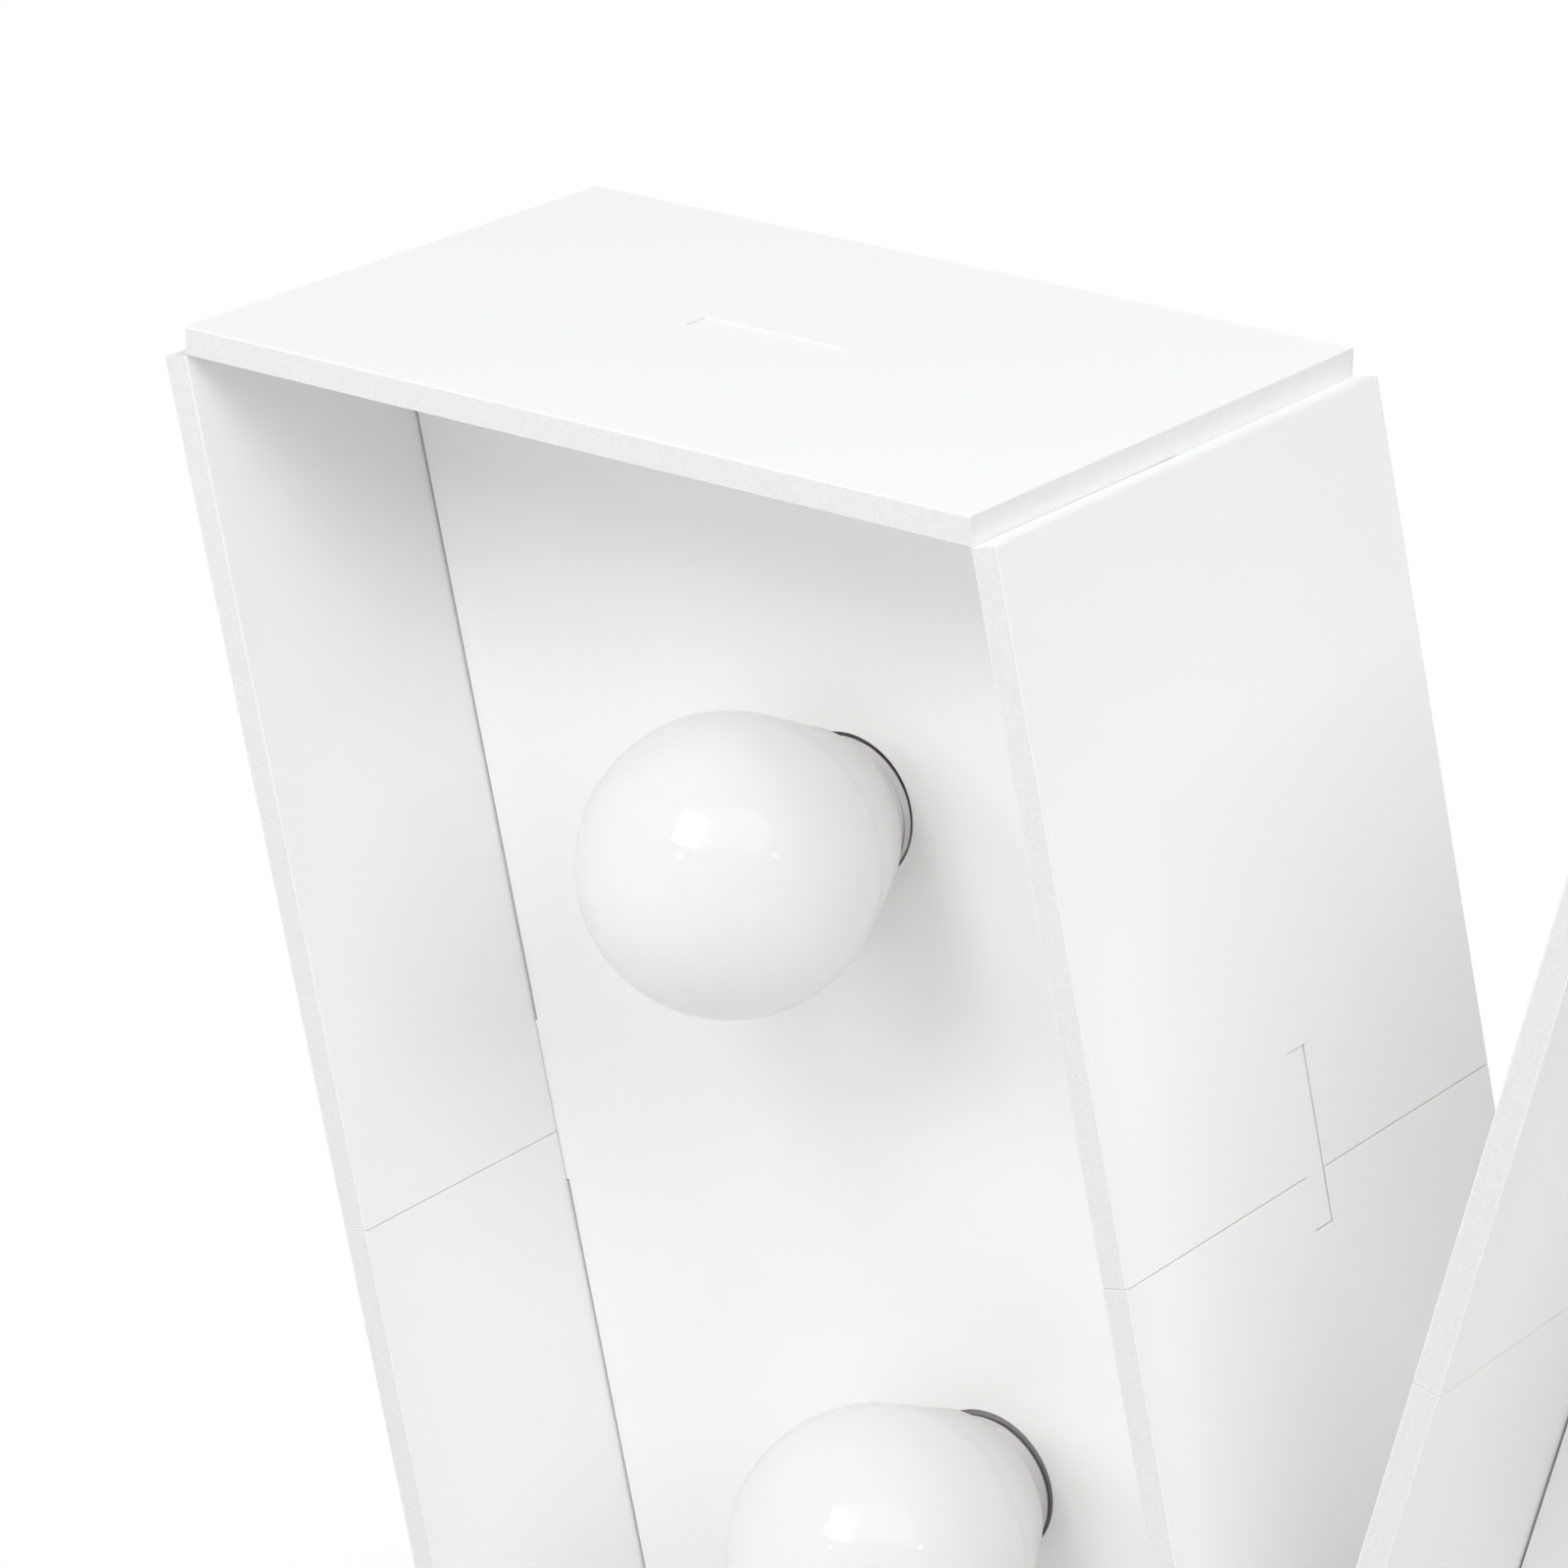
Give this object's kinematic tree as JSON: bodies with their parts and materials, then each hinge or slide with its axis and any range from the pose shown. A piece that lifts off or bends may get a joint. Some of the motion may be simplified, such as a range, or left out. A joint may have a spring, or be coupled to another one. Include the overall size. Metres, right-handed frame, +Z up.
{
  "type": "light-up letter",
  "caption": "Free-standing white letter V in foam board, with screw-in globe bulbs on a recessed board, lamp holders and wiring behind it, and a rocker switch.",
  "frame": {"origin": "middle of the underside of the bottom panel", "axes": "+Z up, the front faces -Y, +X to the viewer's right"},
  "size_m": [0.4436, 0.1157, 0.61],
  "materials": {
    "foam_board": "white PVC foam board, smooth satin skin, fine foam cells on the cut edges",
    "opal_globe": "glossy opal white diffuser",
    "bulb_skirt": "moulded white plastic, half gloss",
    "nickel_cap": "bright nickel plating on a thin pressed shell",
    "holder_plastic": "moulded off-white thermoset",
    "brass": "bare pressed brass",
    "zinc_screws": "zinc plated",
    "wire_insulation": "soft PVC insulation",
    "box_plastic": "moulded white plastic, fine grain",
    "black_plastic": "moulded black plastic",
    "rocker_plastic": "polished black plastic"
  },
  "bodies": {
    "letter": {"bulb_board": "foam_board", "bottom_panel": "foam_board", "top_panel_left": "foam_board", "top_panel_right": "foam_board", "outer_wall_left_1": "foam_board", "outer_wall_left_2": "foam_board", "outer_wall_left_3": "foam_board", "outer_wall_left_4": "foam_board", "outer_wall_right_1": "foam_board", "outer_wall_right_2": "foam_board", "outer_wall_right_3": "foam_board", "outer_wall_right_4": "foam_board", "inner_wall_left_1": "foam_board", "inner_wall_left_2": "foam_board", "inner_wall_right_1": "foam_board", "inner_wall_right_2": "foam_board", "lamp_holder_1": "holder_plastic", "lamp_holder_2": "holder_plastic", "lamp_holder_3": "holder_plastic", "lamp_holder_4": "holder_plastic", "lamp_holder_5": "holder_plastic", "lamp_holder_6": "holder_plastic", "lamp_holder_7": "holder_plastic", "lamp_holder_8": "holder_plastic", "lamp_holder_9": "holder_plastic", "holder_contacts": "brass", "screws": "zinc_screws", "wiring": "wire_insulation", "control_box": "box_plastic", "control_lid": "box_plastic", "cord_gland": "black_plastic", "switch_body": "black_plastic"},
    "cap_1": {"screw_cap_1": "nickel_cap"},
    "bulb_1": {"globe_1": "opal_globe", "bulb_skirt_1": "bulb_skirt"},
    "cap_2": {"screw_cap_2": "nickel_cap"},
    "bulb_2": {"globe_2": "opal_globe", "bulb_skirt_2": "bulb_skirt"},
    "cap_3": {"screw_cap_3": "nickel_cap"},
    "bulb_3": {"globe_3": "opal_globe", "bulb_skirt_3": "bulb_skirt"},
    "cap_4": {"screw_cap_4": "nickel_cap"},
    "bulb_4": {"globe_4": "opal_globe", "bulb_skirt_4": "bulb_skirt"},
    "cap_5": {"screw_cap_5": "nickel_cap"},
    "bulb_5": {"globe_5": "opal_globe", "bulb_skirt_5": "bulb_skirt"},
    "cap_6": {"screw_cap_6": "nickel_cap"},
    "bulb_6": {"globe_6": "opal_globe", "bulb_skirt_6": "bulb_skirt"},
    "cap_7": {"screw_cap_7": "nickel_cap"},
    "bulb_7": {"globe_7": "opal_globe", "bulb_skirt_7": "bulb_skirt"},
    "cap_8": {"screw_cap_8": "nickel_cap"},
    "bulb_8": {"globe_8": "opal_globe", "bulb_skirt_8": "bulb_skirt"},
    "cap_9": {"screw_cap_9": "nickel_cap"},
    "bulb_9": {"globe_9": "opal_globe", "bulb_skirt_9": "bulb_skirt"},
    "rocker": {"rocker": "rocker_plastic"}
  },
  "joints": [
    {"name": "bulb_1_travel", "type": "slide", "parent": "letter", "child": "cap_1", "axis": [0, -1, 0], "range_m": [0, 0.00726]},
    {"name": "bulb_1_turn", "type": "hinge", "parent": "cap_1", "child": "bulb_1", "pos_m": [-0.11817, -0.0175, 0.532], "axis": [0, -1, 0], "range_deg": [0, 720]},
    {"name": "bulb_2_travel", "type": "slide", "parent": "letter", "child": "cap_2", "axis": [0, -1, 0], "range_m": [0, 0.00726]},
    {"name": "bulb_2_turn", "type": "hinge", "parent": "cap_2", "child": "bulb_2", "pos_m": [-0.08638, -0.0175, 0.41525], "axis": [0, -1, 0], "range_deg": [0, 720]},
    {"name": "bulb_3_travel", "type": "slide", "parent": "letter", "child": "cap_3", "axis": [0, -1, 0], "range_m": [0, 0.00726]},
    {"name": "bulb_3_turn", "type": "hinge", "parent": "cap_3", "child": "bulb_3", "pos_m": [-0.05609, -0.0175, 0.2985], "axis": [0, -1, 0], "range_deg": [0, 720]},
    {"name": "bulb_4_travel", "type": "slide", "parent": "letter", "child": "cap_4", "axis": [0, -1, 0], "range_m": [0, 0.00726]},
    {"name": "bulb_4_turn", "type": "hinge", "parent": "cap_4", "child": "bulb_4", "pos_m": [-0.02729, -0.0175, 0.18175], "axis": [0, -1, 0], "range_deg": [0, 720]},
    {"name": "bulb_5_travel", "type": "slide", "parent": "letter", "child": "cap_5", "axis": [0, -1, 0], "range_m": [0, 0.00726]},
    {"name": "bulb_5_turn", "type": "hinge", "parent": "cap_5", "child": "bulb_5", "pos_m": [0, -0.0175, 0.065], "axis": [0, -1, 0], "range_deg": [0, 720]},
    {"name": "bulb_6_travel", "type": "slide", "parent": "letter", "child": "cap_6", "axis": [0, -1, 0], "range_m": [0, 0.00726]},
    {"name": "bulb_6_turn", "type": "hinge", "parent": "cap_6", "child": "bulb_6", "pos_m": [0.02729, -0.0175, 0.18175], "axis": [0, -1, 0], "range_deg": [0, 720]},
    {"name": "bulb_7_travel", "type": "slide", "parent": "letter", "child": "cap_7", "axis": [0, -1, 0], "range_m": [0, 0.00726]},
    {"name": "bulb_7_turn", "type": "hinge", "parent": "cap_7", "child": "bulb_7", "pos_m": [0.05609, -0.0175, 0.2985], "axis": [0, -1, 0], "range_deg": [0, 720]},
    {"name": "bulb_8_travel", "type": "slide", "parent": "letter", "child": "cap_8", "axis": [0, -1, 0], "range_m": [0, 0.00726]},
    {"name": "bulb_8_turn", "type": "hinge", "parent": "cap_8", "child": "bulb_8", "pos_m": [0.08638, -0.0175, 0.41525], "axis": [0, -1, 0], "range_deg": [0, 720]},
    {"name": "bulb_9_travel", "type": "slide", "parent": "letter", "child": "cap_9", "axis": [0, -1, 0], "range_m": [0, 0.00726]},
    {"name": "bulb_9_turn", "type": "hinge", "parent": "cap_9", "child": "bulb_9", "pos_m": [0.11817, -0.0175, 0.532], "axis": [0, -1, 0], "range_deg": [0, 720]},
    {"name": "rocker_tilt", "type": "hinge", "parent": "letter", "child": "rocker", "pos_m": [0, 0.03, 0.2985], "axis": [1, 0, 0], "range_deg": [0, 20]}
  ],
  "couplings": [
    {"joint": "bulb_1_travel", "follows": "bulb_1_turn", "m_per_rad": 0.00057773},
    {"joint": "bulb_2_travel", "follows": "bulb_2_turn", "m_per_rad": 0.00057773},
    {"joint": "bulb_3_travel", "follows": "bulb_3_turn", "m_per_rad": 0.00057773},
    {"joint": "bulb_4_travel", "follows": "bulb_4_turn", "m_per_rad": 0.00057773},
    {"joint": "bulb_5_travel", "follows": "bulb_5_turn", "m_per_rad": 0.00057773},
    {"joint": "bulb_6_travel", "follows": "bulb_6_turn", "m_per_rad": 0.00057773},
    {"joint": "bulb_7_travel", "follows": "bulb_7_turn", "m_per_rad": 0.00057773},
    {"joint": "bulb_8_travel", "follows": "bulb_8_turn", "m_per_rad": 0.00057773},
    {"joint": "bulb_9_travel", "follows": "bulb_9_turn", "m_per_rad": 0.00057773}
  ]
}
